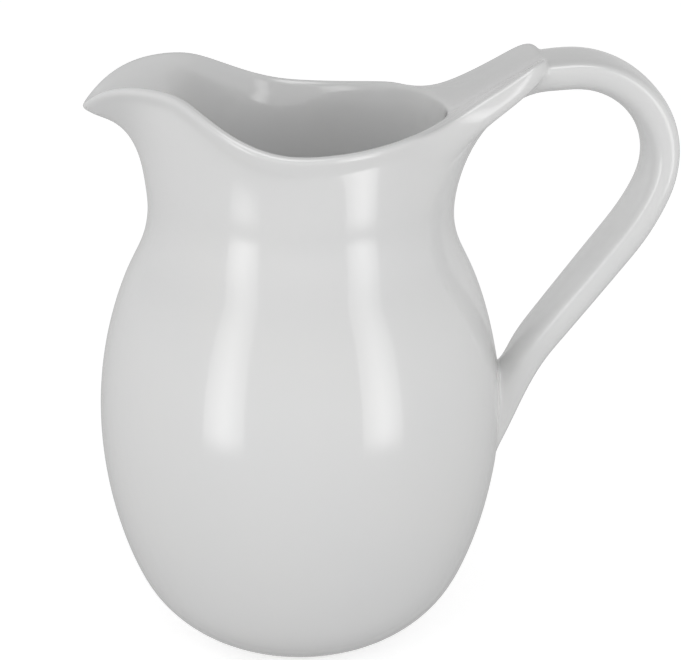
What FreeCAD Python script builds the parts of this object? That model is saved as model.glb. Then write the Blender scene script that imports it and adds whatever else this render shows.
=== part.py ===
import FreeCAD, Part
import Sketcher
import math
import os

# Porcelain pitcher, cast in one piece.
# Frame: origin on the table under the axis of the belly, +Z up, spout towards -X, handle towards +X.

SIZES = [
    # vessel, millimetres
    ("belly_radius", 66.9, "widest radius of the belly"),
    ("belly_height", 80.0, "height of the widest place"),
    ("neck_radius", 49.8, "outer radius of the narrowest place"),
    ("neck_height", 150.2, "height of the narrowest place"),
    ("neck_curve", 27.2, "radius of the hollow between belly and neck"),
    ("bottom_curve", 45.0, "radius where the belly turns under"),
    ("wall", 4.4, "wall of belly and neck"),
    ("base_thickness", 4.6, "floor above the foot's recess"),
    # foot
    ("foot_radius", 28.0, "outer radius of the foot ring"),
    ("foot_width", 3.6, "width of the unglazed ring face"),
    ("foot_step", 0.95, "height at which the belly leaves the ring"),
    ("foot_recess", 2.4, "depth of the recess inside the ring"),
    ("foot_slope", 17.0, "degrees that the belly rises from the ring"),
    # rim and spout
    ("rim_height", 179.4, "height of the rim at its low middle"),
    ("rim_radius", 48.5, "radius of the middle of the rim's wall"),
    ("rim_swell", 2.7, "how far the rim bulges at each side"),
    ("lip_thickness", 3.6, "wall at the rim"),
    ("spout_reach", 20.6, "how far the spout stands out from the rim"),
    ("spout_angle", 38.0, "half the angle of rim that the spout takes, in degrees"),
    ("shoulder_rise", 14.9, "height of the rim's shoulders over its middle"),
    ("spout_drop", 11.2, "fall from the shoulders to the tip"),
    ("back_rise", 3.8, "rise of the rim towards the handle"),
    # thumb rest
    ("rest_reach", 75.8, "where the thumb rest ends, from the axis"),
    ("rest_width", 40.0, "width of the thumb rest"),
    ("rest_slope", 31.5, "slope of the thumb rest, in degrees"),
    ("rest_dish", 2.8, "hollow between its two corners"),
    ("rest_corner", 3.8, "how far the corners stand up from the slope"),
    ("rest_depth", 10.8, "thickness at its end"),
    ("rest_inside", 2.5, "how far inside the rim's middle its slope begins"),
    # handle
    ("strap_width", 25.6, "width of the strap"),
    ("strap_thickness", 11.8, "thickness of the strap at the bend"),
    ("strap_start", 10.8, "thickness where it leaves the thumb rest"),
    ("sunk_start", 8.2, "thickness of its end, sunk in the thumb rest"),
    ("sunk_width", 21.0, "width of that end"),
    ("sunk_back", 2.2, "how far that end is inside the thumb rest"),
    ("sunk_drop", 6.0, "how far its middle is under the thumb rest's edge"),
    ("run_thickness", 12.2, "thickness of the straight run"),
    ("top_beyond", 12.2, "highest place of the strap, beyond the thumb rest"),
    ("top_rise", 16.4, "height of the strap's middle there, over the rim"),
    ("rise_radius", 45.0, "curve of the strap before that place"),
    ("bend_radius", 29.0, "curve over the hand"),
    ("lower_radius", 36.5, "curve below the widest place"),
    ("knee_stand", 9.2, "middle of the strap off the belly where the straight run ends"),
    ("knee_rise", 19.0, "height of that place over the root"),
    ("ankle_stand", 3.0, "middle of the strap off the belly just over the root"),
    ("ankle_thickness", 18.4, "thickness of the strap there"),
    ("root_rise", 0.5, "height of the root's middle over the widest place"),
    ("root_length", 33.0, "height of the root"),
    ("root_width", 17.5, "width of the root"),
    ("root_fillet", 2.5, "blend from the root into the belly"),
]

COLUMNS = 48  # columns of the skin's control net round the vessel
RING_STEP = 15.0  # distance between its rings up the belly
FLARE_RISE = (0.5, 0.95)  # how soon the flare of the neck climbs, as shares of its height
FLARE_OUT = 0.2  # and how much of its reach it has by the second of them
REST_RISE, REST_OUT = (0.46, 0.85), 0.4  # the same under the thumb rest
REST_SPAN = 31.0  # degrees of the rim, to each side, that the thumb rest takes
CORNER_ASIDE = 0.78  # where its corners are, as a share of its half width
CORNER_SPREAD = 0.3  # and how wide they are

# Where things lie round the rim, in degrees from the handle or, for the spout, from its tip.
SWELL_MIDDLE, SWELL_SPREAD = 108.0, 40.0
SHOULDER_START, SHOULDER_SPAN = 90.0, 60.0
BACK_START, BACK_SPAN = 25.0, 60.0
LEAN_START, LEAN_SPAN = 40.0, 60.0
CROWD_SPAN = 60.0  # columns of the net crowd together this near the tip
DROP_SPAN = 28.0
SPOUT_POINT, SPOUT_LEAN_POWER, DROP_POWER = 1.25, 0.8, 2.4  # how sharply each grows to the tip
LEAN_BACK, LEAN_SIDE, LEAN_SPOUT = 6.0, 10.0, 46.0  # degrees that the wall leans out at the rim

# Poles of the lip: places up the wall from the rim's middle, and shares of its half thickness.
LIP_FOOT = -4.0
TIP_THINNING = 0.2  # share of the lip's thickness lost at the tip
LIP_OUT = ((1.0, -1.6), (1.0, 0.0), (0.6, 0.9), (0.0, 1.1))
LIP_IN = ((-0.55, 0.9), (-1.0, -0.6))
REST_INNER = (-0.4, 0.3)
NEAR_EDGE = 3.0  # the pole that makes the thumb rest's edge crisp, inwards of it
REST_SIDE = (0.5, 0.4, 2.2)  # the pole under that edge: back, in and down from it
REST_BELOW = (2.0, 1.2, 6.0)  # the pole under the end: back, in, and half width where that is full
FLARE_STEPS = (0.25, 0.5, 0.75)

# The skin's closed ends: each hides inside the foot ring or under the inner floor.
FOOT_TUCK = (0.4, 0.6)  # inside the ring's inner face, and as a share of the foot's step
FLOOR_SHARES = (1.0, 0.6)  # rings of the inner floor, as shares of the foot's radius
FLOOR_GAP = 1.5  # the wall's last ring stays this far over the inner floor

# The strap, by the degrees turned from its highest place.
BEND_TURNS = (-12, 6, 24, 45, 68, 90, 108)
RUN_SHARES = (0.0, 0.35, 0.7, 1.0)
THICKEN_START, THICKEN_SPAN = -12.0, 90.0
SETTLE_START, SETTLE_SPAN = 90.0, 36.0
CROWN_START, CROWN_BEND, CROWN_RUN = 0.05, 0.32, 0.2  # share of thickness outside the side ridges
CROWN_SPAN = 100.0
SUNK_CROWN = 0.16
NARROWING, ANKLE_NARROWING = 0.6, 0.85  # shares of the way from strap width to root width
ANKLE_TURN, ANKLE_UP = 159.0, 0.25  # its tilt, and how far over the root as a share of its length
ROOT_SINK = 0.55  # how deep the root starts in the wall, as a share of it


def rad(degrees):
    return math.radians(degrees)


def smooth(share):
    share = min(1.0, max(0.0, share))
    return 0.5 - 0.5 * math.cos(math.pi * share)


doc = FreeCAD.newDocument("Pitcher")
sheet = doc.addObject("Spreadsheet::Sheet", "Sizes")
for row, (alias, value, note) in enumerate(SIZES, start=1):
    sheet.set("A%d" % row, alias)
    sheet.set("B%d" % row, str(value))
    sheet.set("C%d" % row, note)
    sheet.setAlias("B%d" % row, alias)
doc.recompute()


def size(alias):
    return float(sheet.get(alias))


# The belly's outline: four tangent arcs from foot to neck, each (centre radius, centre height,
# radius, first angle, last angle) with the angles of the outward normal. The hollow at the neck
# has a negative radius, so that its centre lies outside.


def belly_arcs():
    belly, neck = size("belly_radius"), size("neck_radius")
    height, neck_height = size("belly_height"), size("neck_height")
    under, hollow = size("bottom_curve"), size("neck_curve")
    foot_normal = rad(90 - size("foot_slope"))
    under_r = size("foot_radius") - under * math.cos(foot_normal)
    under_z = size("foot_step") + under * math.sin(foot_normal)
    gap = belly - under_r
    lower = (gap**2 + (height - under_z) ** 2 - under**2) / (2 * (gap - under))
    turn = math.atan2(under_z - height, under_r - belly + lower)
    upper = ((belly - neck) ** 2 + (neck_height - height) ** 2) / (2 * (belly - neck)) - hollow
    rise = math.atan2(neck_height - height, neck + hollow - belly + upper)
    return [
        (under_r, under_z, under, -foot_normal, turn),
        (belly - lower, height, lower, turn, 0.0),
        (belly - upper, height, upper, 0.0, rise),
        (neck + hollow, neck_height, -hollow, rise, 0.0),
    ]


def belly_rings(arcs):
    """Rings at equal steps up the arcs: (radius, height, normal angle, signed curve radius)."""
    lengths = [abs(curve * (last - first)) for _, _, curve, first, last in arcs]
    count = round(sum(lengths) / RING_STEP)
    step = sum(lengths) / count
    rings = []
    for i in range(count + 1):
        along = i * step
        arc = 0
        while arc < len(arcs) - 1 and along > lengths[arc]:
            along -= lengths[arc]
            arc += 1
        centre_r, centre_z, curve, first, last = arcs[arc]
        angle = first + (last - first) * min(1.0, along / lengths[arc])
        radius = centre_r + curve * math.cos(angle)
        height = centre_z + curve * math.sin(angle)
        rings.append((radius, height, angle, curve))
    return rings, step


def round_ring(radius, height):
    """A ring of poles whose smooth curve is the circle of this radius."""
    radius *= 3.0 / (2.0 + math.cos(2 * math.pi / COLUMNS))
    ring = []
    for k in range(COLUMNS):
        angle = 2 * math.pi * k / COLUMNS
        ring.append((radius * math.cos(angle), radius * math.sin(angle), height))
    return ring


# The rim. Angles run from the handle, 0, round to the spout, 180 degrees.


def rim_angle(degrees):
    """Where a column of the net meets the rim: columns crowd together at the spout's tip."""
    from_tip = 180.0 - degrees
    if from_tip > CROWD_SPAN:
        return degrees
    return 180.0 - from_tip * (0.5 + 0.5 * from_tip / CROWD_SPAN)


def spout_share(degrees):
    return max(0.0, 1.0 - (180.0 - degrees) / size("spout_angle"))


def rim_plan(degrees):
    aside = min(1.0, abs(degrees - SWELL_MIDDLE) / SWELL_SPREAD)
    swell = math.cos(rad(90.0) * aside) ** 2
    reach = spout_share(degrees) ** SPOUT_POINT
    return size("rim_radius") + size("rim_swell") * swell + size("spout_reach") * reach


def rim_level(degrees):
    shoulder = smooth((degrees - SHOULDER_START) / SHOULDER_SPAN)
    back = 1.0 - smooth((degrees - BACK_START) / BACK_SPAN)
    fall = max(0.0, 1.0 - (180.0 - degrees) / DROP_SPAN) ** DROP_POWER
    level = size("rim_height") + size("shoulder_rise") * shoulder + size("back_rise") * back
    return level - size("spout_drop") * fall


def wall_lean(degrees):
    """How far the wall at the rim leans outwards, in radians."""
    lean = LEAN_BACK + LEAN_SIDE * smooth((degrees - LEAN_START) / LEAN_SPAN)
    return rad(lean + LEAN_SPOUT * spout_share(degrees) ** SPOUT_LEAN_POWER)


def flare(start, end, share, rises=FLARE_RISE, reach=FLARE_OUT):
    """A point on the neck's flare, which leaves the neck upright."""
    a, b = rises
    t, u = share, 1.0 - share
    out = 3 * u * t * t * reach + t**3
    rise = 3 * u * u * t * a + 3 * u * t * t * b + t**3
    return [start[i] + (end[i] - start[i]) * out for i in (0, 1)] + [
        start[2] + (end[2] - start[2]) * rise
    ]


def turned(x, y, degrees):
    angle = rad(degrees)
    return x * math.cos(angle) - y * math.sin(angle), x * math.sin(angle) + y * math.cos(angle)


def rest_edge(neck_angle):
    """Edge of the thumb rest, a squared oval in plan, for one of its columns."""
    angle = rad(90.0 * neck_angle / REST_SPAN)
    start = size("rim_radius") - size("rest_inside")
    x = start + (size("rest_reach") - start) * math.sqrt(math.cos(angle))
    y = 0.5 * size("rest_width") * math.sqrt(math.sin(angle))
    rise = math.tan(rad(size("rest_slope"))) * (x - start)
    aside = 2 * y / size("rest_width")
    dish = size("rest_dish") * (1.0 - aside**2)
    corner = size("rest_corner") * smooth(1.0 - abs(aside - CORNER_ASIDE) / CORNER_SPREAD)
    return x, y, size("rim_height") + size("back_rise") + rise - dish + corner


def lip_column(degrees):
    """Poles of one column from the neck, over the lip and down to the neck inside, y >= 0."""
    wall = size("wall")
    neck, neck_height = size("neck_radius"), size("neck_height")
    at_rim = rim_angle(degrees)
    middle, level, lean = rim_plan(at_rim), rim_level(at_rim), wall_lean(at_rim)
    half = 0.5 * size("lip_thickness") * (1.0 - TIP_THINNING * spout_share(at_rim))

    def around(side, up):
        """Place beside the rim's middle: side is outwards, up is along the wall."""
        r = middle + side * math.cos(lean) + up * math.sin(lean)
        z = level - side * math.sin(lean) + up * math.cos(lean)
        x, y = turned(r, 0.0, at_rim)
        return [x, y, z]

    def at_neck(radius):
        x, y = turned(radius, 0.0, degrees)
        return [x, y, neck_height]

    outside_end = around(half, LIP_FOOT)
    inside_end = around(-half, LIP_FOOT)
    inner_neck = at_neck(neck - wall)
    inside = [flare(inner_neck, inside_end, share) for share in reversed(FLARE_STEPS)]
    lip_in = [around(side * half, up) for side, up in LIP_IN] + [inside_end] + inside
    if degrees < REST_SPAN:
        x, y, z = rest_edge(degrees)
        inner = around(REST_INNER[0] * half, REST_INNER[1])
        pull = 1.0 - NEAR_EDGE / math.hypot(x - inner[0], y - inner[1])
        near = [inner[i] + ((x, y, z)[i] - inner[i]) * pull for i in range(3)]
        halfway = [0.5 * (inner[i] + (x, y, z)[i]) for i in range(3)]
        back, inwards, down = REST_SIDE
        side = [x - back, y - inwards * min(1.0, y), z - down]
        back, inwards, full = REST_BELOW
        below = [x - back, y - inwards * min(1.0, y / full), z - size("rest_depth")]
        start = at_neck(neck)
        outside = [flare(start, below, share, REST_RISE, REST_OUT) for share in FLARE_STEPS]
        lip_out = [below, side, [x, y, z], near, halfway]
    else:
        outside = [flare(at_neck(neck), outside_end, share) for share in FLARE_STEPS]
        lip_out = [outside_end] + [around(side * half, up) for side, up in LIP_OUT]
    return outside + lip_out + lip_in


def mirrored_ring(half_ring):
    """A closed ring of poles from those on the side y >= 0."""
    back = [(x, -y, z) for x, y, z in reversed(half_ring[1:-1])]
    return [tuple(p) for p in half_ring] + back


def skin_shape():
    """The vessel's glazed skin, outside, over the lip and inside, as one smooth solid."""
    rings, step = belly_rings(belly_arcs())
    inner_floor = size("foot_recess") + size("base_thickness")
    inside_ring = size("foot_radius") - size("foot_width")
    net = [round_ring(inside_ring - FOOT_TUCK[0], FOOT_TUCK[1] * size("foot_step"))]
    for radius, height, angle, curve in rings:
        off = step**2 / (6.0 * curve)
        net.append(round_ring(radius + off * math.cos(angle), height + off * math.sin(angle)))
    half = [lip_column(360.0 * k / COLUMNS) for k in range(COLUMNS // 2 + 1)]
    for level in zip(*half):
        net.append(mirrored_ring([list(p) for p in level]))
    for radius, height, angle, curve in reversed(rings):
        off = step**2 / (6.0 * curve) - size("wall")
        radius, height = radius + off * math.cos(angle), height + off * math.sin(angle)
        if height < inner_floor + FLOOR_GAP:
            break
        net.append(round_ring(radius, height))
    for share in FLOOR_SHARES:
        net.append(round_ring(share * size("foot_radius"), inner_floor))
    start = COLUMNS // 4
    poles = [[FreeCAD.Vector(*ring[k - start]) for ring in net] for k in range(COLUMNS)]
    surface = Part.BSplineSurface()
    spans = len(net) - 3
    surface.buildFromPolesMultsKnots(
        poles,
        [1] * (COLUMNS + 1),
        [4] + [1] * (spans - 1) + [4],
        [float(k) for k in range(COLUMNS + 1)],
        [float(k) for k in range(spans + 1)],
        True,
        False,
        3,
        3,
    )
    skin = surface.toShape()
    rims = [edge for edge in skin.Edges if edge.isClosed()]
    ends = [Part.Face(Part.Wire([edge])) for edge in rims]
    shell = Part.makeShell([skin] + ends)
    shell.sewShape()
    solid = Part.makeSolid(shell)
    if solid.Volume < 0:
        solid.reverse()
    return solid


# The skin is the base of the body, which then gets its foot, its handle and the blend at the root.

skin = doc.addObject("Part::Feature", "Skin")
skin.Label = "glazed_skin"
skin.Shape = skin_shape()
body = doc.addObject("PartDesign::Body", "Pitcher")
body.Label = "pitcher"
body.BaseFeature = skin
doc.recompute()


def plane(role):
    return [f for f in body.Origin.OriginFeatures if f.Role == role][0]


def rectangle(name, left, right, low, high):
    """A sketch of a rectangle in the XZ plane, each side placed by an expression."""
    sketch = body.newObject("Sketcher::SketchObject", name)
    sketch.AttachmentSupport = [(plane("XZ_Plane"), "")]
    sketch.MapMode = "FlatFace"
    corners = [FreeCAD.Vector(x, z, 0) for x, z in ((10, 0), (20, 0), (20, 5), (10, 5))]
    for i in range(4):
        sketch.addGeometry(Part.LineSegment(corners[i], corners[(i + 1) % 4]), False)
    for i in range(4):
        sketch.addConstraint(Sketcher.Constraint("Coincident", i, 2, (i + 1) % 4, 1))
        sketch.addConstraint(Sketcher.Constraint("Vertical" if i % 2 else "Horizontal", i))
    sides = [("DistanceX", 3, 10, left), ("DistanceX", 1, 20, right)]
    sides += [("DistanceY", 0, 0, low), ("DistanceY", 2, 5, high)]
    for kind, line, start, expression in sides:
        rule = Sketcher.Constraint(kind, -1, 1, line, 1, start)
        sketch.setExpression("Constraints[%d]" % sketch.addConstraint(rule), expression)
    return sketch


def turned_feature(kind, name, sketch):
    feature = body.newObject("PartDesign::" + kind, name)
    feature.Profile = sketch
    feature.ReferenceAxis = (sketch, ["V_Axis"])
    feature.Angle = 360
    doc.recompute()
    return feature


inside = "Sizes.foot_radius - Sizes.foot_width"
ring_outline = rectangle("ring_outline", inside, "Sizes.foot_radius", "0", "Sizes.foot_recess")
turned_feature("Revolution", "foot_ring", ring_outline)
recess_outline = rectangle("recess_outline", "0", inside, "-1", "Sizes.foot_recess")
turned_feature("Groove", "foot_recess", recess_outline)


# Handle: sections of two half ellipses that meet at the strap's side ridges. Each lies across the
# strap's middle line, whose arcs are given by the degrees turned from its highest place.


def run_line():
    """Turn and length of the straight run, which leaves the lower arc at a tangent for the knee."""
    radius = size("lower_radius")
    centre_x = size("rest_reach") + size("top_beyond") + size("bend_radius") - radius
    centre_z = size("rim_height") + size("top_rise") - size("bend_radius")
    x = size("belly_radius") + size("knee_stand") - centre_x
    z = size("belly_height") + size("root_rise") + size("knee_rise") - centre_z
    length = math.sqrt(x * x + z * z - radius * radius)
    return math.degrees(math.atan2(x * radius - z * length, x * length + z * radius)), length


def middle_line(turn, along=0.0):
    """Expressions for the place, in X and Z, of the strap's middle line."""
    sine, cosine = "sin(%.6f deg)" % turn, "cos(%.6f deg)" % turn
    top_x, top_z = "Sizes.rest_reach + Sizes.top_beyond", "Sizes.rim_height + Sizes.top_rise"
    if turn < 90:
        radius = "Sizes.rise_radius" if turn < 0 else "Sizes.bend_radius"
        return (
            "%s + %s * %s" % (top_x, radius, sine),
            "%s - %s * (1 - %s)" % (top_z, radius, cosine),
        )
    x = "%s + Sizes.bend_radius - Sizes.lower_radius * (1 - %s)" % (top_x, sine)
    z = "%s - Sizes.bend_radius + Sizes.lower_radius * %s" % (top_z, cosine)
    return "%s + %.6f * %s" % (x, along, cosine), "%s - %.6f * %s" % (z, along, sine)


def between(first, last, share):
    return "%s + (%s - %s) * %.4f" % (first, last, first, share)


def section(name, place, turn, width, outer, inner, upright=False):
    """Sketch across the strap: its width and how deep it is outside and inside the side ridges."""
    sketch = body.newObject("Sketcher::SketchObject", name)
    sketch.AttachmentSupport = [(plane("YZ_Plane"), "")]
    sketch.MapMode = "FlatFace"
    sketch.AttachmentOffset = FreeCAD.Placement(
        FreeCAD.Vector(0, 0, 0), FreeCAD.Rotation(FreeCAD.Vector(1, 0, 0), turn)
    )
    sketch.setExpression("AttachmentOffset.Base.z", place[0])
    sketch.setExpression("AttachmentOffset.Base.y", place[1])
    centre, side, top = [FreeCAD.Vector(*p) for p in ((0, 0, 0), (10, 0, 0), (0, 15, 0))]
    for half in (0, 1):
        if upright:
            oval, first = Part.Ellipse(top, side, centre), (half - 0.5) * math.pi
        else:
            oval, first = Part.Ellipse(centre, 10.0, 2.0 + 2.0 * half), half * math.pi
        sketch.addGeometry(Part.ArcOfEllipse(oval, first, first + math.pi), False)
    sketch.exposeInternalGeometry(0)
    sketch.exposeInternalGeometry(1)
    across_out, deep_out, across_in, deep_in = (3, 2, 7, 6) if upright else (2, 3, 6, 7)
    rules = [
        ("PointOnObject", 0, 3, -2),
        ("Horizontal", across_out),
        ("PointOnObject", 0, 1, across_out),
        ("PointOnObject", 0, 2, across_out),
        ("Coincident", 1, 3, 0, 3),
        ("Horizontal", across_in),
        ("Coincident", 1, 1, 0, 2),
        ("PointOnObject", 1, 2, across_in),
    ]
    for rule in rules:
        sketch.addConstraint(Sketcher.Constraint(*rule))
    ridge = sketch.addConstraint(Sketcher.Constraint("DistanceY", -1, 1, 0, 3, 0.0))
    sketch.setExpression("Constraints[%d]" % ridge, "0.5 * ((%s) - (%s))" % (inner, outer))
    for line, start, expression in (
        (across_out, 20.0, width),
        (deep_out, 30.0 if upright else 4.0, "2 * (%s)" % outer),
        (deep_in, 30.0 if upright else 8.0, "2 * (%s)" % inner),
    ):
        index = sketch.addConstraint(Sketcher.Constraint("Distance", line, start))
        sketch.setExpression("Constraints[%d]" % index, expression)
    return sketch


run_turn, run_length = run_line()
stations = [(turn, 0.0) for turn in BEND_TURNS]
stations += [(run_turn, run_length * share) for share in RUN_SHARES]
rest_edge_height = (
    "Sizes.rim_height + Sizes.back_rise - Sizes.rest_dish + tan(Sizes.rest_slope * 1 deg) * "
    "(Sizes.rest_reach - Sizes.rim_radius + Sizes.rest_inside)"
)
sunk_place = ("Sizes.rest_reach - Sizes.sunk_back", rest_edge_height + " - Sizes.sunk_drop")
sunk_out = "%.4f * Sizes.sunk_start" % SUNK_CROWN
sunk_in = "%.4f * Sizes.sunk_start" % (1 - SUNK_CROWN)
sunk = section("sunk_section", sunk_place, 0.0, "Sizes.sunk_width", sunk_out, sunk_in)
sections = [sunk]
for turn, along in stations:
    grown = smooth((turn - THICKEN_START) / THICKEN_SPAN)
    settled = smooth((turn - SETTLE_START) / SETTLE_SPAN)
    narrowed = (along / run_length) ** 2
    crown = CROWN_START + CROWN_BEND * smooth((turn - THICKEN_START) / CROWN_SPAN)
    crown += CROWN_RUN * settled
    thickness = between("Sizes.strap_start", "Sizes.strap_thickness", grown)
    thickness += " + (Sizes.run_thickness - Sizes.strap_thickness) * %.4f" % settled
    width = between("Sizes.strap_width", "Sizes.root_width", NARROWING * narrowed)
    outer = "%.4f * (%s)" % (crown, thickness)
    inner = "%.4f * (%s)" % (1 - crown, thickness)
    name = "strap_section_%d" % len(sections)
    sections.append(section(name, middle_line(turn, along), turn, width, outer, inner))
ankle_place = (
    "Sizes.belly_radius + Sizes.ankle_stand",
    "Sizes.belly_height + Sizes.root_rise + %.3f * Sizes.root_length" % ANKLE_UP,
)
half_ankle, half_root = "0.5 * Sizes.ankle_thickness", "0.5 * Sizes.root_length"
ankle_width = between("Sizes.strap_width", "Sizes.root_width", ANKLE_NARROWING)
ankle = section("ankle_section", ankle_place, ANKLE_TURN, ankle_width, half_ankle, half_ankle)
root_place = (
    "Sizes.belly_radius - %.3f * Sizes.wall" % ROOT_SINK,
    "Sizes.belly_height + Sizes.root_rise",
)
root = section("root_section", root_place, 180.0, "Sizes.root_width", half_root, half_root, True)
doc.recompute()
strap = body.newObject("PartDesign::AdditiveLoft", "strap")
strap.Profile = sections[0]
strap.Sections = sections[1:] + [ankle, root]
doc.recompute()


def root_edges():
    """Names of the edges where the strap meets the belly."""
    low = size("belly_height") + size("root_rise") - 0.6 * size("root_length")
    high = low + 1.2 * size("root_length")
    names = []
    for number, edge in enumerate(strap.Shape.Edges, start=1):
        box = edge.BoundBox
        if box.XMin > 0.9 * size("belly_radius") and box.ZMin > low and box.ZMax < high:
            names.append("Edge%d" % number)
    return names


blend = body.newObject("PartDesign::Fillet", "root_blend")
blend.Base = (strap, root_edges())
blend.setExpression("Radius", "Sizes.root_fillet")
doc.recompute()

for item in doc.Objects:
    if "Invalid" in item.State or "Error" in item.State:
        raise RuntimeError("%s failed: %s" % (item.Label, item.State))
if body.Shape.isNull() or not body.Shape.isValid() or len(body.Shape.Solids) != 1:
    raise RuntimeError("the pitcher is not one valid solid")
os.makedirs("parts", exist_ok=True)
body.Shape.exportStep("parts/%s.step" % body.Label)
print("pitcher: %.0f mm3, %d faces" % (body.Shape.Volume, len(body.Shape.Faces)))
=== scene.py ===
# White porcelain pitcher, glazed all over and standing on a plain pale table.
import math

import bpy
from mathutils import Matrix, Vector


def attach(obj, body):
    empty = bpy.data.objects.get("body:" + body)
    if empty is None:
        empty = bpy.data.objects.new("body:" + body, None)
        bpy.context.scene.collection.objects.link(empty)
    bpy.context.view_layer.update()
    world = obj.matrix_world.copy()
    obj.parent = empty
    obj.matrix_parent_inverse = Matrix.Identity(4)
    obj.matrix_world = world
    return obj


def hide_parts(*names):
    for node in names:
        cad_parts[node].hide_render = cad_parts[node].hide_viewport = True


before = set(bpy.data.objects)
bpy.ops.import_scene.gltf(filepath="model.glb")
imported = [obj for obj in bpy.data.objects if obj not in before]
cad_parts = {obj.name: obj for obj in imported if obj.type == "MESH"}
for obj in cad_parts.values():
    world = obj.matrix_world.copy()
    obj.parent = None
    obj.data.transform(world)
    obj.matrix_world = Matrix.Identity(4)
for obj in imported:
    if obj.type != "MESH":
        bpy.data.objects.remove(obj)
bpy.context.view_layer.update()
print("frame loaded")


class Field:
    # a socket that takes part in sums: each sum adds its Math node
    def __init__(self, bench, socket):
        self.bench = bench
        self.socket = socket

    def math(self, operation, *others):
        return self.bench.node("ShaderNodeMath", {"operation": operation}, [self, *others])

    def flipped(self, operation, other):
        return self.bench.node("ShaderNodeMath", {"operation": operation}, [other, self])

    def __add__(self, other):
        return self.math("ADD", other)

    def __sub__(self, other):
        return self.math("SUBTRACT", other)

    def __rsub__(self, other):
        return self.flipped("SUBTRACT", other)

    def __mul__(self, other):
        return self.math("MULTIPLY", other)

    def __truediv__(self, other):
        return self.math("DIVIDE", other)

    def __rtruediv__(self, other):
        return self.flipped("DIVIDE", other)

    def __pow__(self, other):
        return self.math("POWER", other)

    def __neg__(self):
        return self.math("MULTIPLY", -1.0)

    __radd__ = __add__
    __rmul__ = __mul__

    def sine(self):
        return self.math("SINE")

    def cosine(self):
        return self.math("COSINE")

    def root(self):
        return self.math("SQRT")

    def size(self):
        return self.math("ABSOLUTE")

    def least(self, other):
        return self.math("MINIMUM", other)

    def most(self, other):
        return self.math("MAXIMUM", other)

    def over(self, other):
        # 1 where this is more than the other, else 0
        return self.math("GREATER_THAN", other)

    def unit(self):
        return self.most(0.0).least(1.0)

    def eased(self):
        # 0 to 1 in a smooth wave
        return 0.5 - 0.5 * (self.unit() * math.pi).cosine()

    def output(self, name):
        return Field(self.bench, self.socket.node.outputs[name])


class Bench:
    # makes every node of one tree
    def __init__(self, tree):
        self.tree = tree

    def node(self, kind, settings=None, values=None, result=0):
        made = self.tree.nodes.new(kind)
        for name, value in (settings or {}).items():
            if name == "stops":
                ramp = made.color_ramp.elements
                while len(ramp) < len(value):
                    ramp.new(0.5)
                for stop, (place, colour) in zip(ramp, value):
                    stop.position, stop.color = place, colour
            elif name == "items":
                while len(made.index_switch_items) < value:
                    made.index_switch_items.new()
            else:
                setattr(made, name, value)
        pairs = values.items() if isinstance(values, dict) else enumerate(values or [])
        for name, value in pairs:
            if isinstance(value, Field):
                self.tree.links.new(value.socket, made.inputs[name])
            elif value is not None:
                made.inputs[name].default_value = value
        return Field(self, made.outputs[result])

    def pick(self, place, values, kind="FLOAT"):
        # the value that stands at this whole number in the list
        settings = {"data_type": kind, "items": len(values)}
        inputs = dict(enumerate([place, *values]))
        return self.node("GeometryNodeIndexSwitch", settings, inputs)

    def vector(self, x, y, z):
        return self.node("ShaderNodeCombineXYZ", None, [x, y, z])

    def whole(self, value):
        return self.node("FunctionNodeFloatToInt", {"rounding_mode": "ROUND"}, [value])


def between(first, last, share):
    return first + (last - first) * share


# ---- the pitcher's form

pitcherForm = {
    # millimetres and degrees, as inputs of the node tree
    "Belly Radius": 66.9,
    "Belly Height": 80.0,
    "Neck Radius": 49.8,
    "Neck Height": 150.2,
    "Neck Curve": 27.2,
    "Under Curve": 45.0,
    "Wall": 4.4,
    "Base": 4.6,
    "Foot Radius": 28.0,
    "Foot Width": 3.6,
    "Foot Step": 0.95,
    "Foot Recess": 2.4,
    "Foot Slope": 17.0,
    "Rim Height": 179.4,
    "Rim Radius": 48.5,
    "Rim Swell": 2.7,
    "Lip": 3.6,
    "Tip Thinning": 0.2,
    "Spout Reach": 20.6,
    "Spout Angle": 38.0,
    "Spout Drop": 11.2,
    "Shoulder Rise": 14.9,
    "Back Rise": 3.8,
    "Rest Reach": 75.8,
    "Rest Width": 40.0,
    "Rest Slope": 31.5,
    "Rest Dish": 1.6,
    "Rest Corner": 2.2,
    "Strap Width": 25.6,
}
strapForm = {
    # the strap's middle line turns over its top, bends down and runs straight to the belly
    "topBeyond": 12.2,
    "topRise": 16.4,
    "riseRadius": 45.0,
    "bendRadius": 29.0,
    "lowerRadius": 36.5,
    "kneeStand": 9.2,
    "kneeRise": 19.5,
    "startThick": 10.8,
    "bendThick": 11.8,
    "runThick": 12.2,
    "runTrim": 1.7,
    "rootWidth": 17.5,
    "turns": (-10, -2, 8, 19, 31, 43, 55, 67, 79, 91, 104),
    "runShares": (0.0, 0.2, 0.4, 0.6, 0.8, 0.97),
}
strapRoot = (
    # outer place and inner place off the belly's widest point, width over strap width, on the belly
    ((8.0, 6.4), (2.6, 19.0), 0.77, 0),
    ((3.2, -6.8), (0.9, 16.4), 0.70, 0),
    ((-0.6, -15.4), (-0.6, 14.8), 0.69, 1),
    ((-1.0, -18.6), (-1.0, 17.4), 0.87, 1),
)
netForm = {
    # rings and columns of the control net, which the smoothing then rounds
    "columns": 24,
    "lowRings": 9,
    "highRings": 7,
    "floorRing": 3,
    "smoothing": 2,
}


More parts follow.
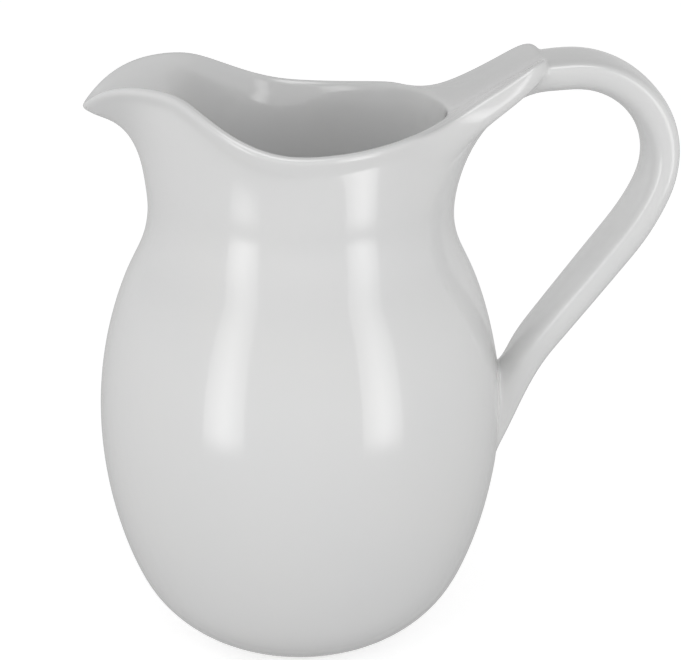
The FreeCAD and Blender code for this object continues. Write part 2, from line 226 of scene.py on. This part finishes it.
def strapStations():
    # outer place, inner place, half width, share of thickness inside the ridge, on the belly
    form, strap = pitcherForm, strapForm
    topX = form["Rest Reach"] + strap["topBeyond"]
    topZ = form["Rim Height"] + strap["topRise"]
    lower = strap["lowerRadius"]
    lowX, lowZ = topX + strap["bendRadius"] - lower, topZ - strap["bendRadius"]
    kneeX = form["Belly Radius"] + strap["kneeStand"] - lowX
    kneeZ = form["Belly Height"] + strap["kneeRise"] - lowZ
    run = math.sqrt(kneeX**2 + kneeZ**2 - lower**2)
    runTurn = math.atan2(kneeX * lower - kneeZ * run, kneeX * run + kneeZ * lower)

    def eased(share):
        return 0.5 - 0.5 * math.cos(math.pi * min(1.0, max(0.0, share)))

    stations = []
    path = [(math.radians(turn), 0.0) for turn in strap["turns"]]
    path += [(runTurn, run * share) for share in strap["runShares"]]
    for turn, along in path:
        sine, cosine = math.sin(turn), math.cos(turn)
        if turn < math.pi / 2:
            radius = strap["riseRadius"] if turn < 0 else strap["bendRadius"]
            x, z = topX + radius * sine, topZ - radius * (1 - cosine)
        else:
            x = lowX + lower * sine + along * cosine
            z = lowZ + lower * cosine - along * sine
        degrees = math.degrees(turn)
        settled = eased((degrees - 90) / 36)
        thick = between(strap["startThick"], strap["bendThick"], eased((degrees + 12) / 90))
        thick += (strap["runThick"] - strap["bendThick"]) * settled
        crown = 0.22 + 0.16 * eased((degrees + 12) / 100) + 0.2 * settled
        width = between(1.0, strap["rootWidth"] / form["Strap Width"], 0.6 * (along / run) ** 2)
        half = 0.5 * thick
        outside = half - strap["runTrim"] * eased((degrees - 50) / 60)
        outer = (x + outside * sine, z + outside * cosine)
        inner = (x - half * sine, z - half * cosine)
        stations.append((outer, inner, width, 1.0 - crown, 0))
    wide, high = form["Belly Radius"], form["Belly Height"]
    for outer, inner, width, onBelly in strapRoot:
        outer, inner = (wide + outer[0], high + outer[1]), (wide + inner[0], high + inner[1])
        stations.append((outer, inner, width, 0.5, onBelly))
    return stations


# thumb rest, column by column from its middle: shares of reach and width, and of the corner's
# rise, then how far its slope's columns are drawn to the middle and how far they sink
restPlan = {
    "along": (1.0, 1.003, 0.99, 0.885, 0.60, 0.27, -0.07),
    "across": (0.0, 0.32, 0.62, 0.86, 0.97, 1.04, 1.34),
    "corner": (0.0, 0.1, 0.9, 1.15, 0.75, 0.85, 0.9),
    "pull": (0.0, 0.10, 0.19, 0.20, 0.20, 0.15, 0.05),
    "sink": (0.0, 0.0, 0.0, 0.3, 1.0, 0.9, 0.2),
}
# its rows under the edge: how far out, across and down from that edge each column stands
restRows = {
    "near": ((-3.0, 0, 1.7), (-3.0, -0.6, 1.8), (-2.8, -1.7, 3.2), (-2.1, -3.4, 2.9),
             (-1.0, -4.0, 1.3), (-0.6, -3.6, 1.2), (-1.0, -2.0, 0.9)),
    "edge": ((0.9, 0, -0.3), (0.9, 0, -0.1), (1.0, 0.1, 1.4), (0.7, 0.7, 3.0),
             (0.4, 0.8, 3.6), (0.4, 0.8, 3.6), (0.5, 0.9, 3.0)),
    "crown": ((1.9, 0, -0.4), (1.9, -0.3, 0.0), (1.9, -0.6, 2.4), (1.2, 0.1, 5.4),
              (0.4, 0.7, 6.6), (0.3, 0.9, 6.6), (0.4, 1.2, 6.0)),
    "ridge": ((1.0, 0, 5.2), (1.0, 0, 5.2), (1.3, 0.8, 4.1), (0.8, -0.7, 8.1),
              (0.2, -0.2, 9.4), (0.0, 0.4, 9.6), (0.3, 1.1, 9.8)),
    "under": ((-3.3, 0, 11.4), (-3.2, -0.2, 11.1), (-1.2, -0.8, 9.4), (-2.2, -3.0, 10.6),
              (-1.9, -3.2, 11.1), (-1.4, -1.4, 12.9), (-0.1, 0.9, 13.9)),
}


def pitcherTree():
    tree = bpy.data.node_groups.new("pitcherForm", "GeometryNodeTree")
    face = tree.interface
    for name in pitcherForm:
        face.new_socket(name, in_out="INPUT", socket_type="NodeSocketFloat")
    face.new_socket("Smoothing", in_out="INPUT", socket_type="NodeSocketInt")
    face.new_socket("Glaze", in_out="INPUT", socket_type="NodeSocketMaterial")
    face.new_socket("Geometry", in_out="OUTPUT", socket_type="NodeSocketGeometry")
    bench = Bench(tree)
    entry = bench.node("NodeGroupInput")
    size = {name: entry.output(name) for name in pitcherForm}

    columns = netForm["columns"]
    columnStep = 180.0 / columns
    low, high = netForm["lowRings"], netForm["highRings"]
    footRows = 9
    bellyRow = footRows + low
    neckRow = bellyRow + high
    lipRows = 18
    innerNeckRow = neckRow + lipRows
    innerRings = low + high - netForm["floorRing"]
    floorRow = innerNeckRow + innerRings + 1
    rows = floorRow + 4
    crownRow = neckRow + 6

    def grid(across, along, name):
        # a flat net whose points know their column and their row
        mesh = bench.node(
            "GeometryNodeMeshGrid",
            None,
            {"Size X": across, "Size Y": along, "Vertices X": across + 1, "Vertices Y": along + 1},
        )
        place = bench.node("GeometryNodeInputPosition")
        parts = bench.node("ShaderNodeSeparateXYZ", None, [place])
        column, row = parts.output("X") + 0.5 * across, parts.output("Y") + 0.5 * along
        for label, value in ((name + "Column", column), (name + "Row", row)):
            mesh = bench.node(
                "GeometryNodeStoreNamedAttribute",
                {"data_type": "FLOAT", "domain": "POINT"},
                {"Geometry": mesh, "Name": label, "Value": bench.whole(value)},
            )
        return mesh

    def named(label):
        return bench.node("GeometryNodeInputNamedAttribute", {"data_type": "FLOAT"}, [label])

    # the strap's net: twelve points a ring, whose end rings lie on the vessel's own net
    stations = strapStations()
    ringPoints, lastRing = 12, len(stations) + 1
    around, ring = named("strapColumn"), named("strapRow")
    isStrap = ring.over(-0.5)

    sideWave = bench.pick(bench.whole(around), (0, -1, -2, -3, -2, -1, 0, 1, 2, 3, 2, 1, 0))
    upWave = bench.pick(bench.whole(around), (3, 2, 1, 0, -1, -2, -3, -2, -1, 0, 1, 2, 3))
    atRoot = ring.over(lastRing - 0.5)
    restColumn = sideWave.most(-2.0).least(2.0)
    restRow = upWave.most(-1.0).least(1.0) + (crownRow - 1)
    rootColumn = sideWave.most(-1.0).least(1.0)
    rootRow = bellyRow - upWave.most(-2.0).least(2.0)
    onNetColumn = between(restColumn, rootColumn, atRoot)
    onNetRow = between(restRow, rootRow, atRoot)

    column = between(named("netColumn") - columns, onNetColumn, isStrap)
    row = between(named("netRow"), onNetRow, isStrap)
    side = column.math("SIGN")
    aside = column.size()

    # columns spread a little round the strap's root, to leave it room
    nearRoot = 1.0 - ((row - bellyRow).size() - 2.0).most(0.0) / 3.0
    nearRoot = nearRoot.most(0.0) * (1.0 - row.over(neckRow + 0.5))
    spread = (-4.0, 0.0, 4.0, 2.8, 1.3, 0.5) + (0.0,) * (columns - 3)

    def columnAngle(step):
        extra = bench.pick(bench.whole(aside + (step + 1)), spread)
        return ((aside + step) * columnStep + extra * nearRoot) * math.radians(1.0)

    angle = columnAngle(0)
    behind, ahead = angle - columnAngle(-1), columnAngle(1) - angle
    rounding = 6.0 / (4.0 + behind.cosine() + ahead.cosine())

    # belly: four arcs that meet at tangents, walked in equal steps
    belly, neck = size["Belly Radius"], size["Neck Radius"]
    height, neckHeight = size["Belly Height"], size["Neck Height"]
    under, hollow = size["Under Curve"], size["Neck Curve"]
    footNormal = (90.0 - size["Foot Slope"]) * math.radians(1.0)
    underR = size["Foot Radius"] - under * footNormal.cosine()
    underZ = size["Foot Step"] + under * footNormal.sine()
    gap, drop = belly - underR, height - underZ
    lower = (gap * gap + drop * drop - under * under) / (2.0 * (gap - under))
    turn = (-drop).math("ARCTAN2", underR - belly + lower)
    inset, rise = belly - neck, neckHeight - height
    upper = (inset * inset + rise * rise) / (2.0 * inset) - hollow
    lean = rise.math("ARCTAN2", hollow - inset + upper)
    lengths = (under * (turn + footNormal), -lower * turn, upper * lean, hollow * lean)
    lowStep = (lengths[0] + lengths[1]) / low
    highStep = (lengths[2] + lengths[3]) / high

    isInner = row.over(innerNeckRow - 0.5)
    ringUp = between(row - footRows, (innerNeckRow + low + high) - row, isInner)
    isHigh = ringUp.over(low + 0.5)
    step = between(lowStep, highStep, isHigh)
    along = (ringUp - isHigh * low) * step
    isSecond = along.over(between(lengths[0], lengths[2], isHigh))
    arc = bench.whole(2.0 * isHigh + isSecond)
    normal = bench.pick(
        arc,
        (
            along / under - footNormal,
            turn + (along - lengths[0]) / lower,
            along / upper,
            lean - (along - lengths[2]) / hollow,
        ),
    )
    curve = bench.pick(arc, (under, lower, upper, -hollow))
    centreR = bench.pick(arc, (underR, belly - lower, belly - upper, neck + hollow))
    centreZ = bench.pick(arc, (underZ, height, height, neckHeight))
    reach = curve + step * step / (6.0 * curve) - isInner * size["Wall"]
    bellyR = centreR + reach * normal.cosine()
    bellyZ = centreZ + reach * normal.sine()

    # foot ring with its recess below, and the floor inside
    foot, ringIn = size["Foot Radius"], size["Foot Radius"] - size["Foot Width"]
    recess, floorZ = size["Foot Recess"], size["Foot Recess"] + size["Base"]
    footR = (
        0.0, 0.5 * ringIn, ringIn - 1.4, ringIn - 0.2, ringIn + 0.1,
        ringIn + 0.6, 0.5 * (foot + ringIn), foot - 0.5, foot + 0.1,
    )
    footZ = (recess, recess, recess, recess - 0.5, 0.5, 0.0, 0.0, 0.0, 0.35)
    floorR = (foot, 0.6 * foot, 0.3 * foot, 0.0)
    isFoot, isFloor = 1.0 - row.over(footRows - 0.5), row.over(floorRow - 0.5)
    footPlace = bench.whole(row.least(footRows - 1.0))
    floorPlace = bench.whole((row - floorRow).most(0.0))
    roundR = between(bellyR, bench.pick(footPlace, footR), isFoot)
    roundR = between(roundR, bench.pick(floorPlace, floorR), isFloor) * rounding
    roundZ = between(bellyZ, bench.pick(footPlace, footZ), isFoot)
    roundZ = between(roundZ, floorZ, isFloor)
    roundPoint = bench.vector(roundR * angle.cosine(), roundR * angle.sine(), roundZ)

    # rim: degrees from the handle, with the columns crowding at the spout and the thumb rest
    plain = aside * columnStep
    fromTip = 180.0 - plain
    crowd = fromTip * (fromTip / 120.0 - 0.5) * (1.0 - fromTip.over(60.0))
    atRim = plain - crowd - 5.5 * ((aside / 12.0).unit() * math.pi).sine()
    toTip = 180.0 - atRim
    spout = (1.0 - toTip / size["Spout Angle"]).most(0.0)
    swell = (((atRim - 108.0).size() / 40.0).unit() * (0.5 * math.pi)).cosine() ** 2.0
    middle = size["Rim Radius"] + size["Rim Swell"] * swell + size["Spout Reach"] * spout**1.25
    level = size["Rim Height"] + size["Shoulder Rise"] * ((atRim - 90.0) / 60.0).eased()
    level = level + size["Back Rise"] * (1.0 - ((atRim - 25.0) / 60.0).eased())
    level = level - size["Spout Drop"] * (1.0 - toTip / 28.0).most(0.0) ** 2.4
    tilt = 6.0 + 10.0 * ((atRim - 40.0) / 60.0).eased() + 46.0 * spout**0.8
    tilt = tilt * math.radians(1.0)
    rimAngle = atRim * math.radians(1.0)
    tiltSine, tiltCosine = tilt.sine(), tilt.cosine()
    rimSine, rimCosine = rimAngle.sine(), rimAngle.cosine()
    halfLip = 0.5 * size["Lip"] * (1.0 - size["Tip Thinning"] * spout)

    def beside(out, up):
        # a point by the rim's middle, out in shares of half the lip and up along the wall
        offset = out * halfLip
        r = middle + offset * tiltCosine + up * tiltSine
        return r * rimCosine, r * rimSine, level - offset * tiltSine + up * tiltCosine

    def flare(start, end, share, rises=(0.5, 0.95), reach=0.2):
        # leaves the neck upright and swings out to its end
        rest = 1.0 - share
        out = 3.0 * rest * share * share * reach + share * share * share
        up = 3.0 * rest * rest * share * rises[0] + 3.0 * rest * share * share * rises[1]
        up = up + share * share * share
        return (
            between(start[0], end[0], out),
            between(start[1], end[1], out),
            between(start[2], end[2], up),
        )

    def mixed(first, last, share):
        return tuple(between(a, b, share) for a, b in zip(first, last))

    # thumb rest
    isRest = 1.0 - aside.over(6.5)
    restPlace = bench.whole(aside.least(6.0))
    restStart = size["Rim Radius"] - 2.5
    alongRest = (size["Rest Reach"] - restStart) * bench.pick(restPlace, restPlan["along"])
    acrossShare = bench.pick(restPlace, restPlan["across"])
    slope = (size["Rest Slope"] * math.radians(1.0)).math("TANGENT")
    dish = size["Rest Dish"] * (1.0 - acrossShare * acrossShare).most(0.0)
    corner = size["Rest Corner"] * bench.pick(restPlace, restPlan["corner"])
    restTop = (
        restStart + alongRest,
        0.5 * size["Rest Width"] * acrossShare,
        size["Rim Height"] + size["Back Rise"] + slope * alongRest - dish + corner,
    )

    def restPoint(name):
        out, wide, down = zip(*restRows[name])
        return (
            restTop[0] + bench.pick(restPlace, out),
            restTop[1] + bench.pick(restPlace, wide),
            restTop[2] - bench.pick(restPlace, down),
        )

    neckOut = (neck * angle.cosine(), neck * angle.sine(), neckHeight)
    innerNeck = neck - size["Wall"]
    neckIn = (innerNeck * angle.cosine(), innerNeck * angle.sine(), neckHeight)
    outsideEnd, insideEnd = beside(1.0, -4.0), beside(-1.0, -4.0)
    restUnder = restPoint("under")
    underRest = ((0.46, 0.85), 0.4)
    inner = beside(-0.3, 0.7)
    restNear = restPoint("near")

    def upRest(share):
        # a point up the thumb rest's slope, where the columns keep their room
        x, y, z = mixed(inner, restNear, share)
        bow = 4.0 * share * (1.0 - share)
        y = y * (1.0 - bow * bench.pick(restPlace, restPlan["pull"]))
        return x, y, z - bow * bench.pick(restPlace, restPlan["sink"])

    lip = [
        mixed(flare(neckOut, outsideEnd, 0.17), flare(neckOut, restUnder, 0.25, *underRest), isRest),
        mixed(flare(neckOut, outsideEnd, 0.34), flare(neckOut, restUnder, 0.5, *underRest), isRest),
        mixed(flare(neckOut, outsideEnd, 0.5), flare(neckOut, restUnder, 0.75, *underRest), isRest),
        mixed(flare(neckOut, outsideEnd, 0.66), restUnder, isRest),
        mixed(flare(neckOut, outsideEnd, 0.83), restPoint("ridge"), isRest),
        mixed(outsideEnd, restPoint("crown"), isRest),
        mixed(beside(1.0, -1.6), restPoint("edge"), isRest),
        mixed(beside(1.0, 0.1), restTop, isRest),
        mixed(beside(0.62, 0.9), restNear, isRest),
        mixed(beside(0.22, 1.15), upRest(0.66), isRest),
        mixed(beside(-0.22, 1.15), upRest(0.33), isRest),
        beside(-0.62, 0.8),
        beside(-1.0, -0.5),
        insideEnd,
        flare(neckIn, insideEnd, 0.75),
        flare(neckIn, insideEnd, 0.5),
        flare(neckIn, insideEnd, 0.25),
    ]
    choices = [roundPoint] + [bench.vector(*point) for point in lip] + [roundPoint]
    lipPlace = bench.whole((row - neckRow).most(0.0).least(float(lipRows)))
    vesselPoint = bench.pick(lipPlace, choices, "VECTOR")
    vesselParts = bench.node("ShaderNodeSeparateXYZ", None, [vesselPoint])
    mirrored = (vesselParts.output("X"), vesselParts.output("Y") * side, vesselParts.output("Z"))

    # the strap's rings between its two ends
    place = bench.whole((ring - 1.0).most(0.0).least(float(len(stations) - 1)))

    def station(values):
        return bench.pick(place, list(values))

    outerX, outerZ = station(s[0][0] for s in stations), station(s[0][1] for s in stations)
    innerX, innerZ = station(s[1][0] for s in stations), station(s[1][1] for s in stations)
    halfWidth = 0.5 * size["Strap Width"] * station(s[2] for s in stations)
    ridge, onBelly = station(s[3] for s in stations), station(s[4] for s in stations)
    point = bench.whole(around)
    across = bench.pick(point, (0, -0.56, -1.01, -1.07, -1.0, -0.55, 0, 0.55, 1.0, 1.07, 1.01, 0.56, 0))
    upTo = bench.pick(point, (1.03, 1.0, 0.8, 0, 0, 0, 0, 0, 0, 0, 0.8, 1.0, 1.03))
    downTo = bench.pick(point, (0, 0, 0, 0, 0.64, 0.98, 1.04, 0.98, 0.64, 0, 0, 0, 0))
    level = ridge + upTo * (1.0 - ridge) - downTo * ridge
    strapX, strapZ = between(innerX, outerX, level), between(innerZ, outerZ, level)
    strapY = across * halfWidth
    offMiddle = strapZ - height
    bellyHere = belly - lower + (lower * lower - offMiddle * offMiddle).root() + 0.15
    skinX = (bellyHere * bellyHere - strapY * strapY).root()
    strapX = between(strapX, skinX, onBelly)
    midRing = isStrap * ring.over(0.5) * (1.0 - atRoot)
    final = mixed(mirrored, (strapX, strapY, strapZ), midRing)
    target = bench.vector(*(value * 0.001 for value in final))

    # join the two nets, open the vessel's where the strap grows out, and weld
    vessel = grid(2 * columns, rows - 1, "net")
    strap = grid(ringPoints, lastRing, "strap")
    markers = (("strap", vessel), ("net", strap))
    marked = []
    for name, mesh in markers:
        for label in (name + "Column", name + "Row"):
            mesh = bench.node(
                "GeometryNodeStoreNamedAttribute",
                {"data_type": "FLOAT", "domain": "POINT"},
                {"Geometry": mesh, "Name": label, "Value": -1.0},
            )
        marked.append(mesh)
    faceColumn = (named("netColumn") - columns).size()
    faceRow = named("netRow")
    restHole = (2.0 - faceColumn).over(0.0) * (1.0 - (faceRow - (crownRow - 1)).size()).over(0.0)
    rootHole = (1.0 - faceColumn).over(0.0) * (2.0 - (faceRow - bellyRow).size()).over(0.0)
    opened = bench.node(
        "GeometryNodeDeleteGeometry",
        {"domain": "FACE", "mode": "ALL"},
        {"Geometry": marked[0], "Selection": (restHole + rootHole).over(0.5)},
    )
    joining = tree.nodes.new("GeometryNodeJoinGeometry")
    tree.links.new(opened.socket, joining.inputs[0])
    tree.links.new(marked[1].socket, joining.inputs[0])
    net = bench.node(
        "GeometryNodeSetPosition",
        None,
        {"Geometry": Field(bench, joining.outputs[0]), "Position": target},
    )
    welded = bench.node(
        "GeometryNodeMergeByDistance", None, {"Geometry": net, "Distance": 0.00002}
    )
    smooth = bench.node(
        "GeometryNodeSubdivisionSurface",
        None,
        {"Mesh": welded, "Level": entry.output("Smoothing")},
    )
    shaded = bench.node("GeometryNodeSetShadeSmooth", None, {"Geometry": smooth})
    single = bench.node("GeometryNodeRealizeInstances", None, {"Geometry": shaded})
    glazed = bench.node(
        "GeometryNodeSetMaterial", None, {"Geometry": single, "Material": entry.output("Glaze")}
    )
    ending = tree.nodes.new("NodeGroupOutput")
    tree.links.new(glazed.socket, ending.inputs[0])
    return tree


def makePitcher(glaze):
    holder = bpy.data.objects.new("pitcherHolder", bpy.data.meshes.new("pitcherHolder"))
    bpy.context.collection.objects.link(holder)
    modifier = holder.modifiers.new("pitcherForm", "NODES")
    modifier.node_group = pitcherTree()
    values = dict(pitcherForm, Smoothing=netForm["smoothing"], Glaze=glaze)
    for item in modifier.node_group.interface.items_tree:
        if item.in_out == "INPUT":
            modifier[item.identifier] = values[item.name]
    graph = bpy.context.evaluated_depsgraph_get()
    mesh = bpy.data.meshes.new_from_object(holder.evaluated_get(graph), depsgraph=graph)
    holder.modifiers.remove(modifier)
    bpy.data.objects.remove(holder)
    mesh.name = "porcelainPitcher"
    for name in [a.name for a in mesh.attributes if a.name.startswith(("net", "strap"))]:
        mesh.attributes.remove(mesh.attributes[name])
    pitcher = bpy.data.objects.new("porcelainPitcher", mesh)
    bpy.context.collection.objects.link(pitcher)
    print("pitcher:", len(mesh.vertices), "points,", len(mesh.polygons), "faces")
    return pitcher


# ---- materials

glazeForm = {
    "colour": (0.86, 0.86, 0.855, 1.0),
    "pooled": (0.84, 0.845, 0.85, 1.0),
    "biscuit": (0.70, 0.66, 0.60, 1.0),
    "roughness": 0.16,
    "coatRoughness": 0.03,
    "waveSize": 55.0,
    "waveDepth": 0.03,
    "footLine": 0.0009,
}


def glazedPorcelain():
    material = bpy.data.materials.new("glazedPorcelain")
    material.use_nodes = True
    material.node_tree.nodes.clear()
    bench = Bench(material.node_tree)
    form = glazeForm
    place = bench.node("ShaderNodeTexCoord").output("Object")
    height = bench.node("ShaderNodeSeparateXYZ", None, [place]).output("Z")
    cloud = bench.node("ShaderNodeTexNoise", None, {"Vector": place, "Scale": 22.0, "Detail": 3.0})
    fine = bench.node("ShaderNodeTexNoise", None, {"Vector": place, "Scale": 420.0, "Detail": 2.0})
    bare = 1.0 - ((height - form["footLine"]) / 0.0003 + 0.5 * (fine - 0.5)).unit()
    tone = bench.node(
        "ShaderNodeMix",
        {"data_type": "RGBA"},
        {0: ((cloud - 0.35) * 1.6).unit(), 6: form["colour"], 7: form["pooled"]},
        2,
    )
    colour = bench.node(
        "ShaderNodeMix", {"data_type": "RGBA"}, {0: bare, 6: tone, 7: form["biscuit"]}, 2
    )
    roughness = form["roughness"] + 0.05 * (cloud - 0.5) + bare * 0.55
    wave = bench.node(
        "ShaderNodeTexNoise", None, {"Vector": place, "Scale": form["waveSize"], "Detail": 1.0}
    )
    grain = wave * form["waveDepth"] + bare * fine * 0.4
    bump = bench.node(
        "ShaderNodeBump", None, {"Strength": 0.35, "Distance": 0.001, "Height": grain}
    )
    shader = bench.node(
        "ShaderNodeBsdfPrincipled",
        None,
        {
            "Base Color": colour,
            "Roughness": roughness,
            "IOR": 1.5,
            "Coat Weight": 1.0 - bare,
            "Coat Roughness": form["coatRoughness"],
            "Coat IOR": 1.5,
            "Normal": bump,
        },
    )
    ending = material.node_tree.nodes.new("ShaderNodeOutputMaterial")
    material.node_tree.links.new(shader.socket, ending.inputs["Surface"])
    return material


# ---- table, light and camera

tableForm = {"reach": 6.0, "diffuse": 0.74, "glow": 0.62}
worldForm = {
    "side": 0.88,
    "left": 0.05,
    "behind": 0.25,
    "above": 0.46,
    "below": 0.5,
    # a soft patch high in front, seen only in reflections
    "patch": 2.4,
    "patchWay": (0.0, -0.42, 0.91),
    "patchSpread": 0.13,
}
softboxes = {
    # degrees round from the camera, width, height, middle height, distance, radiance
    "leftSoftbox": (-39.0, 0.22, 0.58, 0.22, 0.55, 2.15),
    "rightSoftbox": (45.0, 0.22, 0.58, 0.22, 0.55, 2.15),
}
softEdges = {"side": 0.5, "top": 0.6, "fade": 0.09}
cameraForm = {
    "place": (-0.0139, -0.6232, 0.3406),
    "look": (0.0409, 0.9358, -0.3502),
    "roll": 0.5,
    "lens": 105.7,
}


def makeTable():
    reach = tableForm["reach"]
    mesh = bpy.data.meshes.new("table")
    corners = [(-reach, -reach, 0), (reach, -reach, 0), (reach, reach, 0), (-reach, reach, 0)]
    mesh.from_pydata(corners, [], [(0, 1, 2, 3)])
    table = bpy.data.objects.new("table", mesh)
    bpy.context.collection.objects.link(table)
    material = bpy.data.materials.new("paleTable")
    material.use_nodes = True
    material.node_tree.nodes.clear()
    bench = Bench(material.node_tree)
    rays = bench.node("ShaderNodeLightPath")
    white = [tableForm["diffuse"]] * 3 + [1.0]
    matt = bench.node("ShaderNodeBsdfDiffuse", None, {"Color": white})
    glow = bench.node(
        "ShaderNodeEmission", None, {"Strength": tableForm["glow"] * rays.output("Is Camera Ray")}
    )
    seen = bench.node("ShaderNodeAddShader", None, [matt, glow])
    clear = bench.node("ShaderNodeBsdfTransparent")
    shader = bench.node("ShaderNodeMixShader", None, [rays.output("Is Glossy Ray"), seen, clear])
    ending = material.node_tree.nodes.new("ShaderNodeOutputMaterial")
    material.node_tree.links.new(shader.socket, ending.inputs["Surface"])
    mesh.materials.append(material)


def makeWorld():
    world = bpy.data.worlds.new("studio")
    world.use_nodes = True
    world.node_tree.nodes.clear()
    bench = Bench(world.node_tree)
    rays = bench.node("ShaderNodeLightPath")
    way = bench.node("ShaderNodeTexCoord").output("Generated")
    parts = bench.node("ShaderNodeSeparateXYZ", None, [way])
    up, soft = parts.output("Z"), worldForm
    level = soft["side"] + up.most(0.0) * (soft["above"] - soft["side"])
    level = level + (-up).most(0.0) * (soft["below"] - soft["side"])
    level = level - soft["left"] * parts.output("X") - soft["behind"] * parts.output("Y").most(0.0)
    centre = bench.node("ShaderNodeVectorMath", {"operation": "DOT_PRODUCT"}, [way, soft["patchWay"]], 1)
    patch = ((centre - 1.0) / soft["patchSpread"] + 1.0).eased()
    level = level + soft["patch"] * patch * rays.output("Is Glossy Ray")
    strength = between(level, 1.0, rays.output("Is Camera Ray"))
    sky = bench.node("ShaderNodeBackground", None, {"Color": (1.0, 1.0, 1.0, 1.0), "Strength": strength})
    ending = world.node_tree.nodes.new("ShaderNodeOutputWorld")
    world.node_tree.links.new(sky.socket, ending.inputs["Surface"])
    bpy.context.scene.world = world


def softboxLight(name, width, height, radiance):
    # brightest up its middle, dimmer to the sides and fading out at the bottom
    material = bpy.data.materials.new(name)
    material.use_nodes = True
    material.node_tree.nodes.clear()
    bench = Bench(material.node_tree)
    place = bench.node("ShaderNodeTexCoord").output("Object")
    parts = bench.node("ShaderNodeSeparateXYZ", None, [place])
    aside = parts.output("X").size() / (0.5 * width)
    up = parts.output("Y") / height + 0.5
    across = 1.0 - (1.0 - softEdges["side"]) * aside.eased()
    along = (up * height / softEdges["fade"]).eased() * between(1.0, softEdges["top"], up.eased())
    front = 1.0 - bench.node("ShaderNodeNewGeometry").output("Backfacing")
    strength = radiance * across * along * front
    light = bench.node("ShaderNodeEmission", None, {"Strength": strength})
    clear = bench.node("ShaderNodeBsdfTransparent")
    shader = bench.node("ShaderNodeAddShader", None, [light, clear])
    ending = material.node_tree.nodes.new("ShaderNodeOutputMaterial")
    material.node_tree.links.new(shader.socket, ending.inputs["Surface"])
    return material


def makeSoftboxes():
    look = Vector(cameraForm["look"])
    toCamera = math.atan2(-look.y, -look.x)
    for name, (turn, width, height, middle, distance, radiance) in softboxes.items():
        mesh = bpy.data.meshes.new(name)
        x, y = 0.5 * width, 0.5 * height
        mesh.from_pydata([(-x, -y, 0), (x, -y, 0), (x, y, 0), (-x, y, 0)], [], [(0, 1, 2, 3)])
        mesh.materials.append(softboxLight(name, width, height, radiance))
        box = bpy.data.objects.new(name, mesh)
        heading = toCamera + math.radians(turn)
        place = Vector((distance * math.cos(heading), distance * math.sin(heading), middle))
        facing = Vector((-place.x, -place.y, 0.0)).to_track_quat("Z", "Y")
        box.matrix_world = Matrix.Translation(place) @ facing.to_matrix().to_4x4()
        box.visible_camera = False
        box.visible_shadow = False
        bpy.context.collection.objects.link(box)


def makeCamera():
    lens = bpy.data.cameras.new("camera")
    lens.lens = cameraForm["lens"]
    lens.sensor_width = 36.0
    lens.clip_start, lens.clip_end = 0.01, 50.0
    camera = bpy.data.objects.new("camera", lens)
    turn = Vector(cameraForm["look"]).to_track_quat("-Z", "Y").to_matrix().to_4x4()
    roll = Matrix.Rotation(math.radians(cameraForm["roll"]), 4, "Z")
    camera.matrix_world = Matrix.Translation(cameraForm["place"]) @ turn @ roll
    bpy.context.collection.objects.link(camera)
    bpy.context.scene.camera = camera


glaze = glazedPorcelain()
pitcher = makePitcher(glaze)
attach(pitcher, "root")
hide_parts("pitcher")
print("pitcher placed")

makeTable()
makeWorld()
makeSoftboxes()
makeCamera()
bpy.context.scene.view_settings.view_transform = "Standard"
print("table, light and camera placed")
